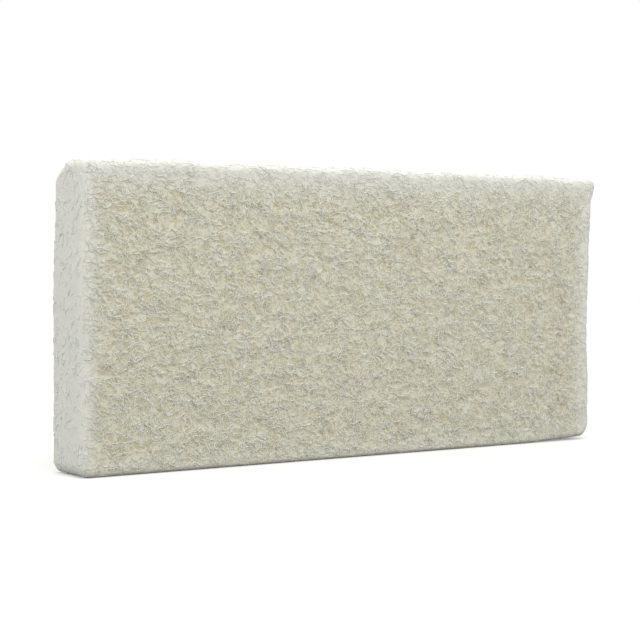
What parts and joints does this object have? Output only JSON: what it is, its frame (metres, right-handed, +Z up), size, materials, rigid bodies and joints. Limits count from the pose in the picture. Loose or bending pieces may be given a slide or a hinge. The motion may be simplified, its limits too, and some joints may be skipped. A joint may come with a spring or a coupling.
{
  "type": "nylon scouring pad",
  "caption": "Rectangular scouring pad of open, lofty non-woven nylon web, standing on its long narrow edge, with softened die-cut edges.",
  "frame": {"origin": "on the ground, under the middle of the pad's bounding box", "axes": "+X along the pad to the right in the picture, -Y towards the front face, +Z up along the pad's 117 mm side"},
  "size_m": [0.254, 0.0254, 0.117],
  "materials": {
    "nylon_web": "matt open fibre web"
  },
  "bodies": {
    "root": {"scouring_pad": "nylon_web"}
  },
  "joints": []
}
